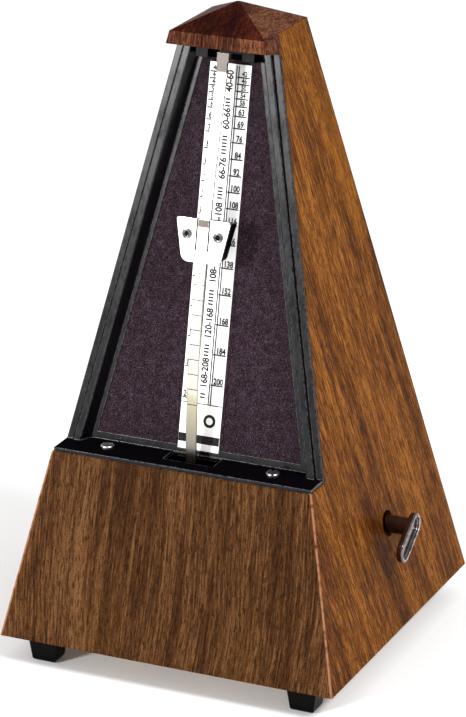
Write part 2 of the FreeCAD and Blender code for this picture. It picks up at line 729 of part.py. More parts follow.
def round_uprights(body, name, radius, chosen):
    """Fillet the edges along the swing frame's y axis that a test chooses."""
    doc.recompute()
    local = body.Shape.copy()
    local.Placement = Placement()
    picked = [f"Edge{number}" for number, edge in enumerate(local.Edges, start=1)
              if edge.BoundBox.YLength > 0.5 and edge.BoundBox.XLength < 1e-3
              and edge.BoundBox.ZLength < 1e-3 and chosen(edge.BoundBox.Center)]
    solid = body.Tip
    rounding = body.newObject("PartDesign::Fillet", name)
    rounding.Base = (solid, picked)
    rounding.Radius = radius
    doc.recompute()


def make_weight_front():
    """Bright front plate with two slits that leave a tongue in its middle."""
    body = new_body("weight_front_body", swing_frame)
    outline = new_sketch(body, "weight_face", "XZ_Plane", dim("weight_reach"))
    draw_outline(outline, weight_outline(0))
    pad(body, outline, "weight_plate", "weight_face_pad", backwards=True)
    round_uprights(body, "weight_low_rounding", 2.6, lambda centre: centre.z < WEIGHT_MIDDLE)
    round_uprights(body, "weight_top_rounding", 0.8, lambda centre: centre.z > WEIGHT_MIDDLE + 6)
    top = dim("weight_low") + dim("weight_height")
    slits = new_sketch(body, "weight_slits", "XZ_Plane", dim("weight_reach"))
    for side in (-1, 1):
        middle = side * 2.05
        draw_outline(slits, [(middle - 0.25, top - 9.8), (middle + 0.25, top - 9.8),
                                (middle + 0.25, top + 1), (middle - 0.25, top + 1)])
    pocket(body, slits, dim("weight_plate"), "weight_slit_cut")
    holes = new_sketch(body, "weight_rivet_holes", "XZ_Plane", dim("weight_reach"))
    for side in (-1, 1):
        draw_circle(holes, RIVET_RADIUS, (side * RIVET_X, RIVET_Z))
    pocket(body, holes, dim("weight_plate"), "weight_rivet_hole_cut")
    return body


keep(make_weight_front(), "weight_front")


def make_weight_body():
    """Dark body behind the plate, with the channel that the rod runs through."""
    clear = 0.05
    depth = dim("weight_reach") - dim("weight_plate")
    body = new_body("weight_body_body", swing_frame)
    outline = new_sketch(body, "weight_block", "XZ_Plane", depth)
    draw_outline(outline, weight_outline(0.6))
    pad(body, outline, depth + dim("weight_back"), "weight_block_pad", backwards=True)
    round_uprights(body, "weight_block_rounding", 2.0, lambda centre: centre.z < WEIGHT_MIDDLE)
    low = dim("weight_low") - 1
    high = dim("weight_low") + dim("weight_height") + 1
    channel = new_sketch(body, "weight_channel", "XZ_Plane", clear)
    draw_outline(channel, rectangle(dim("rod_width") / 2 + clear, low, high))
    pocket(body, channel, dim("rod_thick") + 2 * clear, "weight_channel_cut")
    chamber = new_sketch(body, "weight_chamber", "XZ_Plane", depth)
    draw_outline(chamber, rectangle(2.6, dim("weight_low") + 2.2, high))
    pocket(body, chamber, depth - clear, "weight_chamber_cut")
    holes = new_sketch(body, "weight_block_rivet_holes", "XZ_Plane", depth)
    for side in (-1, 1):
        draw_circle(holes, RIVET_RADIUS, (side * RIVET_X, RIVET_Z))
    pocket(body, holes, depth + dim("weight_back"), "weight_block_rivet_cut")
    return body


keep(make_weight_body(), "weight_body")


def make_weight_spring():
    """Bowed leaf that presses the weight against the rod."""
    thick = 0.3
    low = dim("weight_low") + 2.6
    high = dim("weight_low") + dim("weight_height") - 1.2
    middle = (low + high) / 2
    front = -(dim("weight_reach") - dim("weight_plate")) + 0.1
    near_rod = -0.12 - thick
    arch = Part.Arc(Vector(-1.5, front, low), Vector(-1.5, near_rod, middle), Vector(-1.5, front, high)).toShape()
    inner = Part.Arc(Vector(-1.5, front + thick, low), Vector(-1.5, near_rod + thick, middle),
                     Vector(-1.5, front + thick, high)).toShape()
    ends = [Part.makeLine(Vector(-1.5, front, z), Vector(-1.5, front + thick, z)) for z in (low, high)]
    face = Part.Face(Part.Wire(Part.sortEdges([arch, inner] + ends)[0]))
    return feature("weight_spring_leaf", face.extrude(Vector(3.0, 0, 0)), swing_frame)


keep(make_weight_spring(), "weight_spring")


def make_weight_rivets():
    """Two eyelet rivets through the plate and the body."""
    front = -dim("weight_reach")
    back = dim("weight_back")
    solids = []
    for side in (-1, 1):
        at = Vector(side * RIVET_X, front, RIVET_Z)
        tube = Part.makeCylinder(RIVET_RADIUS, back - front, at, Y_AXIS)
        collar = Part.makeTorus(RIVET_RADIUS + 0.1, 0.42, at, Y_AXIS)
        brim = Part.makeCylinder(RIVET_RADIUS + 0.5, 0.3, at - Vector(0, 0.3, 0), Y_AXIS)
        bore = Part.makeCylinder(RIVET_RADIUS - 0.3, back - front + 2, at - Vector(0, 1, 0), Y_AXIS)
        ring = collar.common(Part.makeBox(6, 1, 6, at + Vector(-3, -1, -3)))
        solids.append(tube.fuse([brim, ring]).cut(bore).removeSplitter())
    return feature("weight_rivet_pair", Part.makeCompound(solids), swing_frame)


keep(make_weight_rivets(), "weight_rivets")


# ---------------------------------------------------------------- movement


def wheel_frame(centre, start_x):
    """Frame of a wheel: its own z axis along the machine's X, from a start plane."""
    return Placement(Vector(start_x, *centre), Rotation(Vector(0, 1, 0), 90))


def gear_outline(teeth, tip, root, module, tooth_share, phase):
    """Closed wire of a spur wheel with straight-flanked, round-shouldered teeth."""
    pitch = module * teeth / 2
    step = 2 * math.pi / teeth
    points = []
    for tooth in range(teeth):
        middle = tooth * step + phase
        for radius, share in ((root, -0.62), (pitch, -0.5), (tip, -0.2), (tip, 0.2), (pitch, 0.5), (root, 0.62)):
            angle = middle + share * tooth_share * step
            points.append(Vector(radius * math.cos(angle), radius * math.sin(angle), 0))
    return Part.makePolygon(points + points[:1])


def gear_solid(teeth, width, bore, phase, tooth_share=0.42, windows=0):
    """Spur wheel or pinion with a bore and, on a wheel, lightening windows."""
    module = dim("gear_module")
    pitch = module * teeth / 2
    wire = gear_outline(teeth, pitch + 0.8 * module, pitch - 1.15 * module, module, tooth_share, phase)
    shape = Part.Face(wire).extrude(Vector(0, 0, width))
    shape = shape.cut(Part.makeCylinder(bore, width + 2, Vector(0, 0, -1)))
    for number in range(windows):
        angle = math.radians(360 * number / windows + 30)
        reach = 0.52 * pitch
        hole = Part.makeCylinder(0.22 * pitch, width + 2,
                                 Vector(reach * math.cos(angle), reach * math.sin(angle), -1))
        shape = shape.cut(hole)
    return shape


def mesh_phase(driver_centre, driven_centre, driver_teeth, driver_phase, driven_teeth):
    """Turn of the driven wheel that puts one of its spaces on the driver's tooth line."""
    toward = wheel_angle(driver_centre, driven_centre)
    back = toward + math.pi
    driver_step = 2 * math.pi / driver_teeth
    driven_step = 2 * math.pi / driven_teeth
    into_tooth = ((toward - driver_phase) / driver_step) % 1.0
    return back + (0.5 + into_tooth) * driven_step


def wheel_angle(start, end):
    """Direction from one wheel centre to another, in a wheel's own plane."""
    across = end[0] - start[0]
    up = end[1] - start[1]
    return math.atan2(across, -up)


BARREL_X = 13.0
BARREL_GEAR = 1.6
DRUM_LENGTH = 5.8
LID_THICK = 0.8
DRUM_RADIUS = 13.0
WHEEL_X = 22.2
PIN_RADIUS = 0.8
RUNNING = 0.04

barrel_phase = 0.0
mid_pinion_phase = mesh_phase(WINDER, MIDDLE, int(dim("barrel_teeth")), barrel_phase, int(dim("mid_leaves")))
mid_wheel_phase = 0.0
escape_pinion_phase = mesh_phase(MIDDLE, ESCAPE, int(dim("mid_teeth")), mid_wheel_phase,
                                 int(dim("escape_leaves")))


def make_barrel():
    """Toothed drum that holds the mainspring."""
    bore = dim("key_bore") + RUNNING
    gear = gear_solid(int(dim("barrel_teeth")), BARREL_GEAR, bore, barrel_phase)
    wall_ring = Part.makeCylinder(DRUM_RADIUS, DRUM_LENGTH, Vector(0, 0, BARREL_GEAR))
    hollow = Part.makeCylinder(DRUM_RADIUS - 1.0, DRUM_LENGTH, Vector(0, 0, BARREL_GEAR))
    return feature("barrel_drum", gear.fuse(wall_ring.cut(hollow)).removeSplitter(), wheel_frame(WINDER, BARREL_X))


keep(make_barrel(), "spring_barrel")

lid_x = BARREL_X + BARREL_GEAR + DRUM_LENGTH
lid_disc = rod_along("lid_disc", DRUM_RADIUS, LID_THICK, (lid_x, *WINDER), X_AXIS)
lid_bore = rod_along("lid_bore", dim("key_bore") + RUNNING, 3.0, (lid_x - 1, *WINDER), X_AXIS)
keep(cut("barrel_lid", lid_disc, lid_bore), "barrel_cover")


def make_mainspring():
    """Coiled ribbon from the arbor's core to the drum's wall."""
    turns = 8.0
    inner = 4.1
    outer = DRUM_RADIUS - 1.15
    ribbon = 0.35
    steps_per_turn = 16
    steps = int(turns * steps_per_turn)
    edges = []
    for offset in (0.0, ribbon):
        points = []
        for index in range(steps + 1):
            angle = 2 * math.pi * index / steps_per_turn
            radius = inner + (outer - ribbon - inner) * index / steps + offset
            points.append(Vector(radius * math.cos(angle), radius * math.sin(angle), 0))
        curve = Part.BSplineCurve()
        curve.interpolate(points)
        edges.append(curve.toShape())
    start = Part.makeLine(edges[0].firstVertex().Point, edges[1].firstVertex().Point)
    end = Part.makeLine(edges[0].lastVertex().Point, edges[1].lastVertex().Point)
    wire = Part.Wire(Part.sortEdges(edges + [start, end])[0])
    ribbon_width = DRUM_LENGTH - 0.6
    coil = Part.Face(wire).extrude(Vector(0, 0, ribbon_width))
    return feature("mainspring_coil", coil, wheel_frame(WINDER, BARREL_X + BARREL_GEAR + 0.3))


keep(make_mainspring(), "mainspring")

RATCHET_X = dim("outer_plate_x") + dim("frame_thick") + 0.3
RATCHET_THICK = 1.5
ARBOR_END_X = dim("key_back") - 0.6


def make_winding_arbor():
    """Arbor from the inner plate to the key, with a thicker core inside the barrel."""
    start = dim("inner_plate_x") + 0.05
    shaft = rod_along("winding_shaft", "key_bore", ARBOR_END_X - start, (start, *WINDER), X_AXIS)
    core = rod_along("winding_core", 3.4, DRUM_LENGTH - 0.3, (BARREL_X + BARREL_GEAR + 0.15, *WINDER), X_AXIS)
    return fuse("winding", [shaft, core])


keep(make_winding_arbor(), "winding_arbor")


def make_ratchet():
    """Saw-toothed wheel on the winding arbor."""
    teeth = int(dim("ratchet_teeth"))
    step = 2 * math.pi / teeth
    points = []
    for tooth in range(teeth):
        angle = tooth * step
        points.append(Vector(6.5 * math.cos(angle), 6.5 * math.sin(angle), 0))
        points.append(Vector(5.5 * math.cos(angle + 0.08 * step), 5.5 * math.sin(angle + 0.08 * step), 0))
    face = Part.Face(Part.makePolygon(points + points[:1]))
    shape = face.extrude(Vector(0, 0, RATCHET_THICK))
    shape = shape.cut(Part.makeCylinder(dim("key_bore"), 4, Vector(0, 0, -1)))
    return feature("ratchet", shape, wheel_frame(WINDER, RATCHET_X))


keep(make_ratchet(), "ratchet_wheel")

CLICK_PIN = 1.0
CLICK_REACH = 7.6
NOSE_ANGLE = math.radians(100)
NOSE = (WINDER[0] + 6.7 * math.cos(NOSE_ANGLE), WINDER[1] + 6.7 * math.sin(NOSE_ANGLE))
CLICK_PIVOT = (NOSE[0] - CLICK_REACH, NOSE[1])


def make_click():
    """Pawl on its pin, its nose just over the ratchet's teeth and its tail on the spring's side."""
    frame = Placement(Vector(RATCHET_X, *CLICK_PIVOT), Rotation())
    disc = Part.makeCylinder(2.1, RATCHET_THICK, Vector(), X_AXIS)
    arm = polygon_prism([(0, 0, -1.6), (0, CLICK_REACH, 0), (0, CLICK_REACH, 0.9), (0, 0, 1.9)],
                        (RATCHET_THICK, 0, 0))
    tail = polygon_prism([(0, 0, -0.9), (0, -4.0, -0.5), (0, -4.0, 0.5), (0, 0, 0.9)], (RATCHET_THICK, 0, 0))
    hole = Part.makeCylinder(CLICK_PIN + RUNNING, 4, Vector(-1, 0, 0), X_AXIS)
    return feature("click", disc.fuse([arm, tail]).cut(hole).removeSplitter(), frame)


keep(make_click(), "ratchet_click")

plate_outside = dim("outer_plate_x") + dim("frame_thick")
click_pin = rod_along("click_pin", CLICK_PIN, 5.2, (dim("outer_plate_x"), *CLICK_PIVOT), X_AXIS)
click_head = rod_along("click_head", 1.9, 1.0, (RATCHET_X + RATCHET_THICK + 0.15, *CLICK_PIVOT), X_AXIS)
keep(fuse("click_pin_and_head", [click_pin, click_head]), "click_screw")


def make_click_spring():
    """Bent wire on a post beside the click, its tip below the click's tail."""
    middle_x = RATCHET_X + RATCHET_THICK / 2
    base = Vector(middle_x, CLICK_PIVOT[0] - 6.0, CLICK_PIVOT[1] - 10.0)
    knee = base + Vector(0, 0.2, 7.4)
    tip = Vector(middle_x, CLICK_PIVOT[0] - 3.3, CLICK_PIVOT[1] - 1.6)
    path = Part.Wire([Part.makeLine(base, knee), Part.makeLine(knee, tip)])
    start = Part.Wire([Part.makeCircle(0.3, base, knee - base)])
    wire = path.makePipeShell([start], True, False, 2)
    post = Part.makeCylinder(0.9, middle_x + 0.4 - plate_outside, Vector(plate_outside, base.y, base.z), X_AXIS)
    return feature("click_spring_wire", wire.fuse(post))


keep(make_click_spring(), "click_spring")


def make_arbor(label, centre, start_x, end_x):
    """Thin arbor between the movement plates."""
    return keep(rod_along(f"{label}_bar", PIN_RADIUS, end_x - start_x, (start_x, *centre), X_AXIS), label)


inner_x = dim("inner_plate_x")
outer_end = dim("outer_plate_x") + dim("frame_thick")
make_arbor("intermediate_arbor", MIDDLE, inner_x, outer_end)
keep(feature("mid_pinion", gear_solid(int(dim("mid_leaves")), 2.6, PIN_RADIUS, mid_pinion_phase, 0.4),
             wheel_frame(MIDDLE, BARREL_X - 0.5)), "intermediate_pinion")
keep(feature("mid_wheel", gear_solid(int(dim("mid_teeth")), 1.2, PIN_RADIUS, mid_wheel_phase, 0.42, 5),
             wheel_frame(MIDDLE, WHEEL_X)), "intermediate_wheel")

CROWN_TIP_X = 4.2
CROWN_TOOTH = 2.2
CROWN_RADIUS = 8.6
CROWN_WALL = 1.2
make_arbor("escape_arbor", ESCAPE, CROWN_TIP_X + 3.0, outer_end)
keep(feature("esc_pinion", gear_solid(int(dim("escape_leaves")), 2.8, PIN_RADIUS, escape_pinion_phase, 0.4),
             wheel_frame(ESCAPE, WHEEL_X - 0.8)), "escape_pinion")


def make_crown_wheel():
    """Crown wheel: a cup whose rim carries saw teeth that point at the verge."""
    teeth = int(dim("escape_teeth"))
    rim_end = CROWN_TOOTH + 1.0
    ring = Part.makeCylinder(CROWN_RADIUS, rim_end).cut(Part.makeCylinder(CROWN_RADIUS - CROWN_WALL, rim_end))
    step = 2 * math.pi / teeth
    reach = CROWN_RADIUS + 2
    for tooth in range(teeth):
        middle = (tooth + 0.5) * step
        notch = polygon_prism([(CROWN_RADIUS - 3, -0.42 * step * CROWN_RADIUS, -0.01),
                               (CROWN_RADIUS - 3, 0.42 * step * CROWN_RADIUS, -0.01),
                               (CROWN_RADIUS - 3, 0.1 * step * CROWN_RADIUS, CROWN_TOOTH)],
                              (reach - CROWN_RADIUS + 3, 0, 0))
        notch.rotate(Vector(), Z_AXIS, math.degrees(middle))
        ring = ring.cut(notch)
    disc = Part.makeCylinder(CROWN_RADIUS, 1.0, Vector(0, 0, rim_end))
    bore = Part.makeCylinder(PIN_RADIUS, 4, Vector(0, 0, rim_end - 1))
    shape = ring.fuse(disc).cut(bore)
    for number in range(4):
        angle = math.radians(90 * number + 45)
        shape = shape.cut(Part.makeCylinder(1.9, 4, Vector(4.3 * math.cos(angle), 4.3 * math.sin(angle),
                                                           rim_end - 1)))
    return feature("crown", shape.removeSplitter(), wheel_frame(ESCAPE, CROWN_TIP_X))


keep(make_crown_wheel(), "escape_wheel")

PILLARS = [(-28.0, 63.2), (15.5, 62.0), (16.0, 21.5), (-22.0, 21.5)]
PLATE_OUTLINE = [(-27.0, 13.5), (20.0, 13.5), (20.0, 66.5), (-32.0, 66.5), (-32.0, 51.0), (-27.0, 46.0)]
PLATE_BOTTOM = dim("foot_rise") + dim("board_thick")


def make_movement_plate(label, plate_x, flange_side, bores):
    """Upright brass plate with pivot bores and a bent foot that is screwed to the bottom board."""
    thick = dim("frame_thick")
    body = new_body(f"{label}_body", Placement(Vector(plate_x, 0, 0), Rotation()))
    outline = new_sketch(body, f"{label}_outline", "YZ_Plane")
    draw_outline(outline, PLATE_OUTLINE)
    pad(body, outline, "frame_thick", f"{label}_pad")
    foot = new_sketch(body, f"{label}_foot", "XY_Plane", PLATE_BOTTOM)
    near, far = (thick, thick + FLANGE_REACH) if flange_side > 0 else (0, -FLANGE_REACH)
    draw_outline(foot, [(near, -21.0), (far, -21.0), (far, 15.0), (near, 15.0)])
    pad(body, foot, "frame_thick", f"{label}_foot_pad")
    foot_holes = new_sketch(body, f"{label}_foot_holes", "XY_Plane", PLATE_BOTTOM)
    for along in FLANGE_SCREWS_Y:
        draw_circle(foot_holes, 1.3, ((near + far) / 2, along))
    pocket(body, foot_holes, 3.0, f"{label}_foot_drill", backwards=True)
    drill = new_sketch(body, f"{label}_bores", "YZ_Plane")
    for centre, radius in bores:
        draw_circle(drill, radius, centre)
    pocket(body, drill, 4.0, f"{label}_drill", backwards=True)
    return keep(body, label)


train_bores = [(WINDER, dim("key_bore") + RUNNING), (MIDDLE, PIN_RADIUS + RUNNING), (ESCAPE, PIN_RADIUS + RUNNING)]
pillar_bores = [(place, 1.0) for place in PILLARS]


def bearing_centre(depth):
    """(y, z) of a point on the verge's line."""
    point = swing_frame.multVec(Vector(0, depth, 0))
    return (point.y, point.z)


FRONT_BEARING = escape_depth - BEARING_OFFSET
REAR_BEARING = escape_depth + BEARING_OFFSET
bracket_bores = [(bearing_centre(depth), 0.8) for depth in (FRONT_BEARING, REAR_BEARING)]
make_movement_plate("inner_plate", dim("inner_plate_x"), -1, train_bores + pillar_bores + bracket_bores)
make_movement_plate("outer_plate", dim("outer_plate_x"), 1,
                    train_bores + pillar_bores + [(CLICK_PIVOT, CLICK_PIN)])

for depth, name in ((FRONT_BEARING, "front_bearing"), (REAR_BEARING, "rear_bearing")):
    arm = box(f"{name}_arm", (dim("inner_plate_x") + 3.0, 2.4, 6.0), (-3.0, depth - 1.2, -3.0), swing_frame)
    bore = rod_along(f"{name}_bore", ARBOR_RADIUS + RUNNING, 6.0, (0, depth - 3.0, 0), Y_AXIS, swing_frame)
    tapped = rod_along(f"{name}_tapped", 0.8, 4.0, (dim("inner_plate_x") - 4.0, *bearing_centre(depth)), X_AXIS)
    keep(cut(name, arm, fuse(f"{name}_holes", [bore, tapped])), name)

TO_PLUS_X = Rotation(Z_AXIS, X_AXIS)
TO_MINUS_X = Rotation(Z_AXIS, Vector(-1, 0, 0))
inner_face = dim("inner_plate_x") + dim("frame_thick")
screw_group("bearing_screws", screw_shape(1.5, 0.9, 0.8, 4.5),
            [Placement(Vector(inner_face, *bearing_centre(depth)), TO_PLUS_X)
             for depth in (FRONT_BEARING, REAR_BEARING)])


def make_pillars():
    """Four turned pillars that hold the movement plates apart."""
    length = dim("outer_plate_x") - inner_face
    solids = []
    for place in PILLARS:
        start = Vector(inner_face, *place)
        waist = Part.makeCylinder(1.9, length, start, X_AXIS)
        ends = [Part.makeCylinder(2.5, 2.0, start + Vector(offset, 0, 0), X_AXIS) for offset in (0, length - 2.0)]
        bore = Part.makeCylinder(1.0, length, start, X_AXIS)
        solids.append(waist.fuse(ends).cut(bore).removeSplitter())
    return feature("pillar_set", Part.makeCompound(solids))


keep(make_pillars(), "frame_pillars")
screw_group("pillar_screws", screw_shape(1.9, 1.1, 1.0, 6.0),
            [Placement(Vector(dim("inner_plate_x"), *place), TO_MINUS_X) for place in PILLARS]
            + [Placement(Vector(plate_outside, *place), TO_PLUS_X) for place in PILLARS])
screw_group("movement_screws", screw_shape(2.2, 1.3, WOOD_SCREW, 4.8),
            [Placement(Vector(x, y, PLATE_BOTTOM + dim("frame_thick")), Rotation()) for x, y in MOVEMENT_SCREWS])


# ---------------------------------------------------------------- winding key


def make_key():
    """One-sided lever key: a tube that screws onto the arbor and a dished oval lever."""
    turn = Rotation(X_AXIS, 180 + dim("key_turn"))
    frame = Placement(Vector(dim("key_back"), *WINDER), turn)
    end = dim("key_end")
    near = dim("key_offset") - dim("key_half") + end
    far = dim("key_offset") + dim("key_half") - end

    def stadium(radius, low, high):
        ends = [Part.makeCylinder(radius, high - low, Vector(low, at, 0), X_AXIS) for at in (near, far)]
        bridge = Part.makeBox(high - low, far - near, 2 * radius, Vector(low, near, -radius))
        return ends[0].fuse([ends[1], bridge]).removeSplitter()

    thick = dim("key_thick")
    lever = stadium(end, 0, thick)
    rims = [edge for edge in lever.Edges if edge.BoundBox.XLength < 1e-6]
    lever = lever.makeFillet(0.45, rims)
    dish = stadium(end - 1.0, thick - 1.0, thick + 1.0)
    dish_floor = [edge for edge in dish.Edges if edge.BoundBox.XMax < thick - 0.99]
    dish = dish.makeFillet(0.6, dish_floor)
    tube_length = dim("key_back") - 45.5
    tube = Part.makeCylinder(dim("key_radius"), tube_length + 0.2, Vector(-tube_length, 0, 0), X_AXIS)
    bore = Part.makeCylinder(dim("key_bore"), tube_length - 0.6, Vector(-tube_length, 0, 0), X_AXIS)
    return feature("key", lever.cut(dish).fuse(tube).cut(bore), frame)


keep(make_key(), "winding_key")


# ---------------------------------------------------------------- checks and export

doc.recompute()

for item in doc.Objects:
    if "Invalid" in item.State or "Error" in item.State:
        raise RuntimeError(f"{item.Name} failed: {item.State}")
for item in nodes:
    if item.Shape.isNull() or not item.Shape.isValid():
        raise RuntimeError(f"{item.Label} has no valid shape")

os.makedirs("parts", exist_ok=True)
for item in nodes:
    item.Shape.exportStep(f"parts/{item.Label}.step")
print(len(nodes), "nodes written")
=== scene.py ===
"""Looks for the pendulum metronome: wood, plastics, steel, the printed scale, light and camera."""
import json
import math

import bmesh
import bpy
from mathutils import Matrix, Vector


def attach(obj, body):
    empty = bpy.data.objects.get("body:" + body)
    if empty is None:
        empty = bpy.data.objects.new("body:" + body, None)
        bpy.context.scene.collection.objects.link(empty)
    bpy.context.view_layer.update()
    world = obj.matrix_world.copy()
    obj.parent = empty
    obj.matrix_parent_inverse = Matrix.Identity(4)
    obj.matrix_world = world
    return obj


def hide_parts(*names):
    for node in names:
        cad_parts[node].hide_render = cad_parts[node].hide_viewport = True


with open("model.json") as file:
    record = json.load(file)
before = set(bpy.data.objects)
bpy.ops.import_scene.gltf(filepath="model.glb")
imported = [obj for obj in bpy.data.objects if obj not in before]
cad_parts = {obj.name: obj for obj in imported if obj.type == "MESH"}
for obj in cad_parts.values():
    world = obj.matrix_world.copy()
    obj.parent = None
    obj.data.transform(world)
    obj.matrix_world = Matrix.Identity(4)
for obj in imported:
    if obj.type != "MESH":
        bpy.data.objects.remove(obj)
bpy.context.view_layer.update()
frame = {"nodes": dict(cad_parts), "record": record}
nodes = frame["nodes"]
MM = 0.001

# The case's front face leans back; these turn (x, depth behind the face, distance up it) into the row frame.
SLOPE = math.atan(0.2135)
FACE_Y, FACE_Z = -57.5, 9.5


def on_slope(x, depth, along):
    y = FACE_Y + along * math.sin(SLOPE) + depth * math.cos(SLOPE)
    z = FACE_Z + along * math.cos(SLOPE) - depth * math.sin(SLOPE)
    return Vector((x, y, z)) * MM


# The pendulum's frame: x across, depth behind the rod's front face, height above the pivot.
TILT = math.radians(10.75)
PIVOT_Y, PIVOT_Z = -37.5365, 60.0


def on_rod(x, depth, height):
    y = PIVOT_Y + height * math.sin(TILT) + depth * math.cos(TILT)
    z = PIVOT_Z + height * math.cos(TILT) - depth * math.sin(TILT)
    return Vector((x, y, z)) * MM


# ---------------------------------------------------------------- shader helpers


class Nodes:
    """Short calls for building a material's node tree."""

    def __init__(self, name):
        self.material = bpy.data.materials.new(name)
        self.material.use_nodes = True
        self.tree = self.material.node_tree
        self.tree.nodes.clear()
        self.shader = self.add("ShaderNodeBsdfPrincipled")
        output = self.add("ShaderNodeOutputMaterial")
        self.join(self.shader.outputs["BSDF"], output.inputs["Surface"])
        self.place = self.add("ShaderNodeTexCoord").outputs["Object"]

    def add(self, kind):
        return self.tree.nodes.new(kind)

    def join(self, start, end):
        self.tree.links.new(start, end)

    def feed(self, socket, value):
        if isinstance(value, bpy.types.NodeSocket):
            self.join(value, socket)
        else:
            socket.default_value = value

    def math(self, operation, a, b=0.0, c=0.0):
        node = self.add("ShaderNodeMath")
        node.operation = operation
        for socket, value in zip(node.inputs, (a, b, c)):
            self.feed(socket, value)
        return node.outputs[0]

    def times(self, a, b):
        return self.math("MULTIPLY", a, b)

    def dot(self, direction, source=None):
        """Distance along a direction, of the shaded point unless another vector is given."""
        node = self.add("ShaderNodeVectorMath")
        node.operation = "DOT_PRODUCT"
        self.join(source or self.place, node.inputs[0])
        self.feed(node.inputs[1], direction)
        return node.outputs["Value"]

    def normal(self):
        return self.add("ShaderNodeNewGeometry").outputs["Normal"]

    def combine(self, x, y, z):
        node = self.add("ShaderNodeCombineXYZ")
        for socket, value in zip(node.inputs, (x, y, z)):
            self.feed(socket, value)
        return node.outputs[0]

    def noise(self, vector, scale=1.0, detail=3.0, roughness=0.5):
        node = self.add("ShaderNodeTexNoise")
        self.feed(node.inputs["Vector"], vector)
        node.inputs["Scale"].default_value = scale
        node.inputs["Detail"].default_value = detail
        node.inputs["Roughness"].default_value = roughness
        return node.outputs["Fac"]

    def ramp(self, value, stops):
        node = self.add("ShaderNodeValToRGB")
        elements = node.color_ramp.elements
        while len(elements) < len(stops):
            elements.new(0.5)
        for element, (position, colour) in zip(elements, stops):
            element.position = position
            element.color = (*colour, 1.0)
        self.feed(node.inputs[0], value)
        return node.outputs[0]

    def mix(self, factor, a, b, blend="MIX"):
        node = self.add("ShaderNodeMix")
        node.data_type = "RGBA"
        node.blend_type = blend
        self.feed(node.inputs[0], factor)
        for socket, value in ((node.inputs[6], a), (node.inputs[7], b)):
            self.feed(socket, (*value, 1.0) if isinstance(value, tuple) and len(value) == 3 else value)
        return node.outputs[2]

    def remap(self, value, low, high, out_low=0.0, out_high=1.0):
        node = self.add("ShaderNodeMapRange")
        for socket, number in zip(node.inputs, (value, low, high, out_low, out_high)):
            self.feed(socket, number)
        return node.outputs[0]

    def bump(self, height, strength, distance, rounded=0.0):
        node = self.add("ShaderNodeBump")
        node.inputs["Strength"].default_value = strength
        node.inputs["Distance"].default_value = distance
        self.feed(node.inputs["Height"], height)
        if rounded:
            bevel = self.add("ShaderNodeBevel")
            bevel.samples = 4
            bevel.inputs["Radius"].default_value = rounded
            self.join(bevel.outputs[0], node.inputs["Normal"])
        self.join(node.outputs[0], self.shader.inputs["Normal"])

    def edge_wear(self, radius, noise_scale=900.0):
        """Mask for painted edge highlights: 0 on flat parts to 1 on sharp convex edges, from how far a
        rounded normal turns away.
        """
        bevel = self.add("ShaderNodeBevel")
        bevel.samples = 6
        bevel.inputs["Radius"].default_value = radius
        turned = self.dot(self.normal(), bevel.outputs[0])
        away = self.remap(turned, 0.995, 0.90)
        highlight_breaks = self.remap(self.noise(self.place, noise_scale, 2), 0.35, 0.6)
        return self.times(away, highlight_breaks)

    def set(self, **values):
        names = {"color": "Base Color", "rough": "Roughness", "metal": "Metallic",
                 "specular": "Specular IOR Level"}
        for key, value in values.items():
            if isinstance(value, tuple) and len(value) == 3:
                value = (*value, 1.0)
            self.feed(self.shader.inputs[names[key]], value)
        return self.material


def srgb(red, green, blue):
    """Linear colour of a screen colour given as 0 to 255."""
    def channel(value):
        value /= 255
        return value / 12.92 if value <= 0.04045 else ((value + 0.055) / 1.055) ** 2.4
    return (channel(red), channel(green), channel(blue))


# Which way the front slope of the roof's pyramid faces.
ROOF_FRONT = (0.0, -0.408, 0.913)


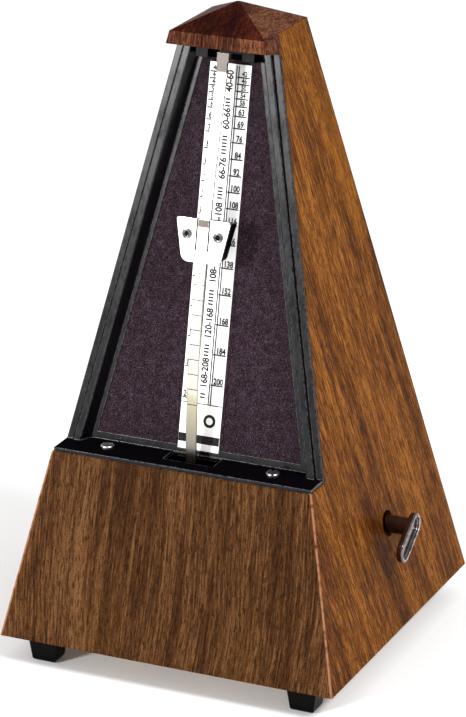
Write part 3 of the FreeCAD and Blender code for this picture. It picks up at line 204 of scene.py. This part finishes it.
def wood(name, across, along, dark, middle, light, figure=1.0, shift=0.0, rough=0.42, gold=0.35, roof_front_shade=False):
    """Walnut-like veneer: broad figure, bands along the grain, fine fibres and dark pores.
    figure sets how far the grain wanders, shift moves to another stretch of veneer, gold sets its
    light patches, and crown paints shade on the roof's front slope, darkening and reddening it."""
    look = Nodes(name)
    side = look.dot(across)
    length = look.dot(along)
    depth = look.dot(tuple(Vector(across).cross(Vector(along))))
    wave = look.noise(look.combine(look.times(side, 9), look.times(length, 7), shift), 1, 2)
    bend = look.times(look.math("SUBTRACT", wave, 0.5), 0.016 * figure)
    side = look.math("ADD", side, bend)

    def streaks(across_scale, along_scale, detail, roughness, offset):
        vector = look.combine(look.times(side, across_scale), look.times(length, along_scale),
                              look.math("MULTIPLY_ADD", depth, across_scale * 0.3, offset + shift))
        return look.noise(vector, 1, detail, roughness)

    broad = streaks(48, 5, 3, 0.55, 3.1)
    bands = streaks(300, 8, 4, 0.6, 7.7)
    fibres = streaks(1800, 70, 4, 0.8, 1.3)
    pores = streaks(2200, 320, 3, 0.7, 5.9)
    spread = look.combine(look.times(side, 26), look.times(length, 12), shift + 2.2)
    patches = look.noise(spread, 1, 2)
    tone = look.times(broad, 0.28)
    tone = look.math("MULTIPLY_ADD", bands, 0.22, tone)
    tone = look.math("MULTIPLY_ADD", fibres, 0.50, tone)
    tone = look.remap(tone, 0.43, 0.57)
    color = look.ramp(tone, [(0.0, dark), (0.5, middle), (1.0, light)])
    golden = look.times(look.remap(patches, 0.56, 0.72), gold)
    color = look.mix(golden, color, (light[0] * 1.15, light[1] * 1.15, light[2] * 0.55))
    pore = look.times(look.remap(pores, 0.52, 0.62), 0.75)
    color = look.mix(pore, color, tuple(c * 0.35 for c in dark))
    speck = look.remap(look.noise(look.place, 2400, 2), 0.3, 0.7, 0.72, 1.28)
    color = look.mix(1.0, color, look.combine(speck, speck, speck), "MULTIPLY")
    # a lighter line along the veneer's edge where two panels meet at a corner of the case
    split = look.add("ShaderNodeSeparateXYZ")
    look.join(look.place, split.inputs[0])
    off_corner = look.math("ABSOLUTE", look.math("SUBTRACT", look.math("ABSOLUTE", split.outputs[0]),
                                                 look.math("ABSOLUTE", split.outputs[1])))
    corner_line = look.remap(off_corner, 0.0007, 0.0002)
    up_edge = look.combine(0.0, 0.0, look.times(split.outputs[2], 260))
    gaps = look.remap(look.noise(up_edge, 1, 3), 0.36, 0.5)
    front_only = look.remap(split.outputs[1], -0.02, -0.03)
    color = look.mix(look.times(look.times(corner_line, gaps), front_only), color, srgb(156, 108, 78))
    gloss = look.remap(fibres, 0.3, 0.7, rough + 0.08, rough - 0.06)
    relief = look.math("SUBTRACT", look.times(fibres, 0.5), pore)
    look.bump(relief, 0.35, 0.0002, 0.0003)
    if roof_front_shade:
        # painted shade on the roof's front slope, picked out by the way its faces point
        painted_roof_shade = look.remap(look.dot(ROOF_FRONT, look.normal()), 0.95, 0.99)
        color = look.mix(painted_roof_shade, color, look.mix(1.0, color, (0.42, 0.22, 0.20), "MULTIPLY"))
    return look.set(color=color, rough=gloss, specular=0.02)


def plastic(name, color, rough, grain=0.0, grain_scale=2500.0, rounded=0.00025, specular=0.5, edge_highlight=0.0,
            dark_top=False):
    """Moulded plastic with faint mottling, fine scratches and rounded edges.
    wear paints a highlight along its edges, and dark_top takes the shine off its level faces as painted
    shade."""
    look = Nodes(name)
    mottle = look.noise(look.place, 60, 3)
    dust = look.remap(look.noise(look.place, 1400, 2, 0.7), 0.62, 0.75)
    crossing = look.combine(look.dot((900, 140, 0)), look.dot((-60, 700, 90)), look.dot((0, 80, 260)))
    scratch = look.noise(crossing, 1, 4, 0.6)
    shade = look.mix(look.times(dust, 0.2), color, tuple(min(1.0, c * 1.8 + 0.006) for c in color))
    if edge_highlight:
        # painted highlight: convex edges turn light grey
        shade = look.mix(look.times(look.edge_wear(0.0004), edge_highlight), shade, (0.35, 0.34, 0.35))
    gloss = look.remap(look.math("MULTIPLY_ADD", scratch, 0.5, look.times(mottle, 0.5)), 0.35, 0.65,
                       rough - 0.05, rough + 0.08)
    look.bump(look.noise(look.place, grain_scale, 2), grain, 0.0001, rounded)
    # painted shade: level faces lose their shine and stay near black
    if dark_top:
        level = look.remap(look.dot((0.0, 0.0, 1.0), look.normal()), 0.90, 0.97)
        specular = look.remap(level, 0.0, 1.0, specular, 0.0)
    return look.set(color=shade, rough=gloss, specular=specular)


def metal(name, color, rough, brushed, stain, rounded=0.00015, heights=None, rim=0.0):
    """Metal with brushing along a direction, fingermarks and tarnish.
    heights lists (z in mm, tint) stops that darken it up its length as painted shade and painted reflection.
    rim paints a highlight along its edges."""
    look = Nodes(name)
    brushing = look.combine(look.dot((5200, 0, 0)), look.dot((0, 300, 0)), look.dot(brushed))
    lines = look.noise(brushing, 1, 3, 0.6)
    marks = look.noise(look.place, 90, 4, 0.6)
    tarnish = look.times(look.remap(marks, 0.5, 0.75), stain)
    shade = look.mix(tarnish, color, tuple(c * 0.45 for c in color))
    # painted shade and painted reflection, stop by stop up the part's height
    if heights:
        low, high = heights[0][0], heights[-1][0]
        level = look.remap(look.dot((0, 0, 1000)), low, high)
        stops = [((height - low) / (high - low), tint) for height, tint in heights]
        shade = look.mix(1.0, shade, look.ramp(level, stops), "MULTIPLY")
    # painted highlight along the edges
    if rim:
        shade = look.mix(look.times(look.edge_wear(0.0006, 500), rim), shade, (0.98, 0.96, 0.95))
    gloss = look.remap(lines, 0.3, 0.7, max(0.03, rough - 0.06), rough + 0.08)
    look.bump(lines, 0.12, 0.00005, rounded)
    return look.set(color=shade, rough=gloss, metal=1.0)


def backing():
    """Dark plum panel with a fine leather-like pebble."""
    look = Nodes("plum_backing")
    fine = look.noise(look.place, 3300, 2, 0.7)
    coarse = look.noise(look.place, 500, 3, 0.6)
    pebble = look.math("MULTIPLY_ADD", fine, 0.82, look.times(coarse, 0.18))
    color = look.ramp(pebble, [(0.36, srgb(4, 0, 2)), (0.5, srgb(22, 9, 16)), (0.64, srgb(76, 58, 70))])
    look.bump(pebble, 0.4, 0.0003)
    return look.set(color=color, rough=0.72, specular=0.1)


def scale_paint():
    """Slightly aged white enamel."""
    look = Nodes("scale_enamel")
    haze = look.noise(look.place, 70, 4, 0.6)
    specks = look.remap(look.noise(look.place, 3000, 2), 0.68, 0.76)
    color = look.ramp(haze, [(0.3, (0.86, 0.85, 0.84)), (0.7, (0.96, 0.95, 0.95))])
    color = look.mix(look.times(specks, 0.3), color, (0.45, 0.42, 0.40))
    look.bump(haze, 0.05, 0.0002, 0.0001)
    return look.set(color=color, rough=0.35, specular=0.4)


def print_ink():
    """Black print that lets a little of the enamel through."""
    look = Nodes("print_ink")
    thin = look.noise(look.place, 2600, 3, 0.7)
    color = look.ramp(thin, [(0.4, (0.004, 0.003, 0.004)), (0.8, (0.05, 0.045, 0.045))])
    look.bump(thin, 0.1, 0.00002)
    return look.set(color=color, rough=0.6, specular=0.08)


# Grain directions: straight up the front, and parallel to the rear edge on the sides.
UP_FRONT = (0.0, math.sin(SLOPE), math.cos(SLOPE))
REAR_EDGE = (0.0, -0.2088, 0.9780)
ACROSS_SIDE = (0.0, 0.9780, 0.2088)

# Painted light up the rod: painted shade where it comes out of the ledge, a painted straw-coloured reflection
# above that, and painted shade under the roof's block.
ROD_PAINTED_LIGHT = [
    (66.0, (0.10, 0.09, 0.09)), (73.5, (0.16, 0.15, 0.15)), (76.0, (0.42, 0.39, 0.37)),
    (84.0, (0.62, 0.58, 0.46)), (91.5, (0.78, 0.75, 0.58)), (93.5, (0.96, 0.95, 0.90)),
    (189.6, (1.0, 1.0, 0.98)), (191.4, (0.12, 0.11, 0.11)),
]

MATERIALS = {
    "front_wood": wood("walnut_front", (1, 0, 0), UP_FRONT, srgb(42, 23, 9), srgb(68, 41, 20),
                       srgb(98, 66, 38), gold=0.2),
    "side_wood": wood("walnut_side", ACROSS_SIDE, REAR_EDGE, srgb(54, 25, 4), srgb(98, 54, 10),
                      srgb(144, 88, 30), shift=4.0, figure=0.7),
    "roof_wood": wood("walnut_roof", (1, 0, 0), (0, 0, 1), srgb(42, 16, 8), srgb(70, 36, 20),
                      srgb(108, 66, 44), shift=9.0, figure=0.5, roof_front_shade=True),
    "back_wood": wood("walnut_back", (1, 0, 0), (0, -math.sin(SLOPE), math.cos(SLOPE)), srgb(48, 20, 2),
                      srgb(92, 46, 8), srgb(142, 84, 32), shift=13.0),
    "plain_board": wood("plain_board", (1, 0, 0), (0, 1, 0), srgb(120, 90, 60), srgb(158, 124, 84),
                        srgb(184, 150, 108), shift=17.0, rough=0.6),
    "black_plastic": plastic("matte_black_plastic", (0.001, 0.001, 0.001), 0.34, 0.12, 2800, 0.00025, 0.05),
    "gloss_black": plastic("gloss_black_plastic", (0.0020, 0.0016, 0.0024), 0.20, 0.03, 900, 0.00035,
                           specular=0.26, edge_highlight=0.3, dark_top=True),
    "backing": backing(),
    "scale_enamel": scale_paint(),
    "rod_steel": metal("rod_steel", (0.54, 0.52, 0.47), 0.28, (0, 0, 300), 0.10, heights=ROD_PAINTED_LIGHT),
    "weight_steel": metal("weight_steel", (0.96, 0.95, 0.94), 0.25, (0, 0, 4200), 0.05),
    "steel": metal("screw_steel", (0.62, 0.61, 0.60), 0.25, (0, 0, 900), 0.3),
    # painted shade and highlight: the dark base paints the shade in the hollow rivets and the rim paints a
    # ring highlight
    "rivet_steel": metal("rivet_steel", (0.10, 0.095, 0.095), 0.2, (0, 0, 900), 0.4, rim=0.35),
    "brass": metal("movement_brass", (0.78, 0.57, 0.24), 0.28, (0, 0, 800), 0.3),
    # painted reflection and highlight: the dark base paints the chrome's dark reflections and the rim paints
    # a highlight along its edges
    "chrome": metal("key_chrome", (0.13, 0.10, 0.10), 0.08, (0, 0, 500), 0.5, 0.0004, rim=1.0),
}
PRINT = print_ink()
SPECIAL = {"roof_cap": "roof_wood", "back_panel": "back_wood", "weight_front": "weight_steel",
           "weight_rivets": "rivet_steel"}

slot_of = {part["node"]: part["material_slot"] for part in frame["record"]["subparts"]}
for node_name, item in nodes.items():
    finish = MATERIALS[SPECIAL.get(node_name, slot_of[node_name])]
    if not item.data.materials:
        item.data.materials.append(finish)
    for index in range(len(item.data.materials)):
        item.data.materials[index] = finish


# ---------------------------------------------------------------- the printed scale


def mesh_piece(name, quads, material, body):
    """Thin flat marks from quads, each a list of corners: the raised print and other marks laid on a part."""
    mesh = bpy.data.meshes.new(name)
    bm = bmesh.new()
    for quad in quads:
        bm.faces.new([bm.verts.new(corner) for corner in quad])
    bm.to_mesh(mesh)
    bm.free()
    item = bpy.data.objects.new(name, mesh)
    bpy.context.scene.collection.objects.link(item)
    mesh.materials.append(material)
    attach(item, body)


# Depths behind the case's front face, in mm. The print stands a hair proud of the plate.
PLATE_FACE = 12.7
PRINT_LIFT = 0.03
PLATE_DEPTH = PLATE_FACE - PRINT_LIFT

# The pendulum's balance, which sets where each tempo's rule stands: with the weight at r mm,
# tempo squared times (INERTIA + r squared) equals STIFFNESS times (REACH - r). r is counted from
# PIVOT_ALONG mm up the front face, near the pivot. The constants are fitted to the real scale's rules.
INERTIA = 9591.6
STIFFNESS = 4.0789e6
REACH = 147.487
PIVOT_ALONG = 50.0


def bar(x_low, x_high, low, high):
    """Rectangle of print on the scale plate."""
    return [on_slope(x, PLATE_DEPTH, along) for x, along in
            ((x_low, low), (x_high, low), (x_high, high), (x_low, high))]


def tempo_height(beats):
    """Where a tempo's rule stands up the scale, found by halving."""
    low, high = 20.0, 147.0
    for _ in range(40):
        middle = (low + high) / 2
        if beats ** 2 * (INERTIA + middle ** 2) < STIFFNESS * (REACH - middle):
            low = middle
        else:
            high = middle
    return PIVOT_ALONG + low


# A digit's share of its font's size, and how far its outline is pushed out, as a share of its height.
DIGIT_SHARE = 0.70
BOLDNESS = 0.05


def number_faces(text, x, along, height, turned=False, stretch=0.8):
    """A number as flat faces on the scale plate, centred at x, standing on a height."""
    curve = bpy.data.curves.new("number", "FONT")
    curve.body = text
    curve.align_x = "CENTER"
    curve.size = height / DIGIT_SHARE
    curve.offset = BOLDNESS * height
    curve.resolution_u = 3
    holder = bpy.data.objects.new("number", curve)
    bpy.context.scene.collection.objects.link(holder)
    bpy.context.view_layer.update()
    mesh = bpy.data.meshes.new_from_object(holder)
    faces = []
    for polygon in mesh.polygons:
        corners = []
        for index in polygon.vertices:
            across, up = mesh.vertices[index].co.x * stretch, mesh.vertices[index].co.y
            if turned:
                across, up = -up + height / 2, across
            corners.append(on_slope(x + across, PLATE_DEPTH, along + up))
        faces.append(corners)
    bpy.data.objects.remove(holder)
    bpy.data.curves.remove(curve)
    bpy.data.meshes.remove(mesh)
    return faces


LEFT_TEMPOS = [40, 44, 48, 52, 56, 60, 66, 72, 80, 88, 96, 104, 112, 120, 132, 144, 160, 176, 192, 208]
RIGHT_TEMPOS = [42, 46, 50, 54, 58, 63, 69, 76, 84, 92, 100, 108, 116, 126, 138, 152, 168, 184, 200]
# The outer columns of the scale, as distances from its middle, and the heights that its print lies between.
COLUMN = 2.45
COLUMN_EDGE = 6.75
COLUMN_MIDDLE = 4.95
RULE_HALF = 0.21
LOW_RULE = 82.3
TOP = 188.9

numbers = []
rules = []
for tempos, side in ((LEFT_TEMPOS, -1), (RIGHT_TEMPOS, 1)):
    for beats in tempos:
        along = tempo_height(beats)
        edges = sorted((side * COLUMN, side * COLUMN_EDGE))
        rules.append(bar(edges[0], edges[1], along - RULE_HALF, along + RULE_HALF))
        size = 1.55 if beats < 63 else 1.9
        numbers += number_faces(str(beats), side * COLUMN_MIDDLE, along + 0.40, size)
# two double lines divide the scale into three columns
for x in (-2.95, -2.2, 2.15, 2.9):
    rules.append(bar(x - 0.19, x + 0.19, LOW_RULE, TOP))
rules.append(bar(-6.9, 6.9, LOW_RULE - 0.15, LOW_RULE + 0.15))

RANGES = [("40-60", 184.0), ("60-66", 172.3), ("66-76", 156.8), ("76-108", 142.0), ("108-120", 125.6),
          ("120-168", 108.0), ("168-208", 92.3)]
for label, middle in RANGES:
    numbers += number_faces(label, 0.0, middle, 2.2, turned=True, stretch=0.92)


def band_marks(low, high):
    """Row of short bars that fills the middle column between two ranges."""
    pitch = 1.05
    starts = [low + pitch * number for number in range(int((high - low) / pitch))]
    return [bar(-0.85, 0.85, start, start + 0.55) for start in starts]


BANDS = [(176.0, 180.2), (161.2, 168.2), (147.2, 152.4), (131.6, 136.8), (113.8, 120.0), (97.6, 102.6),
         (84.2, 86.8)]
for low, high in BANDS:
    rules += band_marks(low, high)

rules.append(bar(-6.95, 6.95, 69.7, 72.4))

# a plain ring below the scale, where a mark usually stands
RING_X, RING_ALONG = 3.1, 77.2
RING_INNER, RING_OUTER = 1.15, 2.1
RING_STEPS = 32


def ring_point(turn, radius):
    angle = turn * math.tau / RING_STEPS
    return on_slope(RING_X + radius * math.cos(angle), PLATE_DEPTH, RING_ALONG + radius * math.sin(angle))


ring = [[ring_point(step, RING_INNER), ring_point(step, RING_OUTER),
         ring_point(step + 1, RING_OUTER), ring_point(step + 1, RING_INNER)] for step in range(RING_STEPS)]
mesh_piece("scale_rules", rules + ring, PRINT, "case")
mesh_piece("scale_numbers", numbers, PRINT, "case")

# ---------------------------------------------------------------- the pendulum rod

# Heights above the pivot and sizes across, in mm.
ROD_LOW, ROD_TOP = -37.0, 139.4
ROD_STEP = 2.0
HEAD_LOW, HEAD_SHOULDER = 136.4, 136.9
ROD_HALF, HEAD_HALF = 1.8, 2.15
ROD_THICK = 0.8
ROD_SOFT = 0.18

# The rod bows forward by BOW mm between these heights above the floor, the ledge and the catch.
BOW = 5.0
BOW_LOW, BOW_HIGH = 68.0, 190.0


def flex(height):
    """How far the rod bows forward between the ledge and its catch, in mm, at a height above the pivot."""
    share = (height * math.cos(TILT) + PIVOT_Z - BOW_LOW) / (BOW_HIGH - BOW_LOW)
    return BOW * math.sin(math.pi * share ** 0.8) if 0.0 < share < 1.0 else 0.0


def make_rod():
    """Flat spring-steel rod with softened edges, a wider head, and the bow that its catch puts in it."""
    steps = int((HEAD_LOW - ROD_LOW) / ROD_STEP) + 1
    stations = [ROD_LOW + ROD_STEP * step for step in range(steps)] + [HEAD_LOW, HEAD_SHOULDER, ROD_TOP]
    mesh = bpy.data.meshes.new("rod")
    bm = bmesh.new()
    rings = []
    for height in stations:
        half = ROD_HALF if height <= HEAD_LOW else HEAD_HALF
        flat = half - ROD_SOFT
        back = ROD_THICK - ROD_SOFT
        section = [(-flat, 0.0), (flat, 0.0), (half, ROD_SOFT), (half, back), (flat, ROD_THICK),
                   (-flat, ROD_THICK), (-half, back), (-half, ROD_SOFT)]
        rings.append([bm.verts.new(on_rod(x, depth - flex(height), height)) for x, depth in section])
    for low, high in zip(rings, rings[1:]):
        for index in range(len(low)):
            after = (index + 1) % len(low)
            bm.faces.new((low[index], low[after], high[after], high[index]))
    bm.faces.new(rings[0][::-1])
    bm.faces.new(rings[-1])
    bmesh.ops.recalc_face_normals(bm, faces=bm.faces)
    bm.to_mesh(mesh)
    bm.free()
    rod = bpy.data.objects.new("rod", mesh)
    bpy.context.scene.collection.objects.link(rod)
    mesh.materials.append(MATERIALS["rod_steel"])
    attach(rod, "pendulum")
    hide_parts("pendulum_rod")


make_rod()

# Scribed notches across the rod, one for each tempo, where the weight's upper edge is set, drawn as thin dark
# strips of painted shade in the grooves.
SCRIBE_HALF = 1.72
scribes = []
for beats in sorted(LEFT_TEMPOS + RIGHT_TEMPOS):
    level = on_slope(0, PLATE_FACE, tempo_height(beats)).z / MM + 1.0
    height = (level - PIVOT_Z) / math.cos(TILT)
    for _ in range(3):
        height = (level - PIVOT_Z - flex(height) * math.sin(TILT)) / math.cos(TILT)
    scribes.append([on_rod(x, -0.02 - flex(height + rise), height + rise) for x, rise in
                    ((-SCRIBE_HALF, -0.13), (SCRIBE_HALF, -0.13), (SCRIBE_HALF, 0.13), (-SCRIBE_HALF, 0.13))])
scribe_shade = plastic("scribe_shadow", (0.03, 0.027, 0.024), 0.6, specular=0.1)
mesh_piece("rod_scribes", scribes, scribe_shade, "pendulum")

# A brownish-grey patch across the weight's tongue.
TONGUE_HALF = 1.72
TONGUE_DEPTH = -5.02
PATCH_LOW, PATCH_HIGH = 85.7, 88.0
tongue = [on_rod(x, TONGUE_DEPTH, height) for x, height in
          ((-TONGUE_HALF, PATCH_LOW), (TONGUE_HALF, PATCH_LOW),
           (TONGUE_HALF, PATCH_HIGH), (-TONGUE_HALF, PATCH_HIGH))]
mesh_piece("tongue_patch", [tongue], plastic("tongue_patch_brown", srgb(100, 88, 82), 0.5),
           "sliding_weight")


# ---------------------------------------------------------------- floor, light and camera


def make_floor():
    mesh = bpy.data.meshes.new("floor")
    bm = bmesh.new()
    bmesh.ops.create_grid(bm, x_segments=8, y_segments=8, size=6.0)
    bm.to_mesh(mesh)
    bm.free()
    floor = bpy.data.objects.new("floor", mesh)
    bpy.context.scene.collection.objects.link(floor)
    look = Nodes("floor_white")
    soft = look.noise(look.place, 2.0, 2)
    color = look.ramp(soft, [(0.3, (0.90, 0.90, 0.90)), (0.7, (0.93, 0.93, 0.93))])
    mesh.materials.append(look.set(color=color, rough=0.9, specular=0.1))


make_floor()


LIGHT_AIM = (0, 0, 0.1)


def area_light(name, place, width, power):
    """Square white lamp of a width in metres that faces the metronome."""
    data = bpy.data.lights.new(name, "AREA")
    data.shape = "SQUARE"
    data.size = width
    data.energy = power
    item = bpy.data.objects.new(name, data)
    bpy.context.scene.collection.objects.link(item)
    item.location = place
    item.rotation_euler = (Vector(LIGHT_AIM) - Vector(place)).to_track_quat("-Z", "Y").to_euler()


area_light("right_light", (1.4, -0.55, 1.5), 0.45, 34.0)
area_light("left_light", (-0.85, -1.6, 0.62), 0.25, 30.0)

world = bpy.data.worlds.new("studio")
world.use_nodes = True
background = world.node_tree.nodes["Background"]
background.inputs[0].default_value = (1.0, 1.0, 1.0, 1.0)
background.inputs[1].default_value = 0.78
bpy.context.scene.world = world
bpy.context.scene.view_settings.view_transform = "Standard"

AZIMUTH = math.radians(24.32)
ELEVATION = math.radians(20.18)
TARGET = Vector((-2.65, 0.0, 93.15)) * MM
DISTANCE = 1154.5 * MM
SENSOR = 36.0
# The lens's length and the camera's shifts are given as shares of the picture's height.
LENS_SHARE = 5.03724
SHIFT_X, SHIFT_Y = 0.003166, -0.001464
toward_camera = Vector((math.sin(AZIMUTH) * math.cos(ELEVATION), -math.cos(AZIMUTH) * math.cos(ELEVATION),
                        math.sin(ELEVATION)))
camera_data = bpy.data.cameras.new("camera")
camera = bpy.data.objects.new("camera", camera_data)
bpy.context.scene.collection.objects.link(camera)
camera.location = TARGET + toward_camera * DISTANCE
camera.rotation_euler = (-toward_camera).to_track_quat("-Z", "Y").to_euler()
camera_data.sensor_width = SENSOR
camera_data.lens = SENSOR * LENS_SHARE
camera_data.shift_x = SHIFT_X
camera_data.shift_y = SHIFT_Y
camera_data.clip_start = 0.05
camera_data.clip_end = 50.0
bpy.context.scene.camera = camera
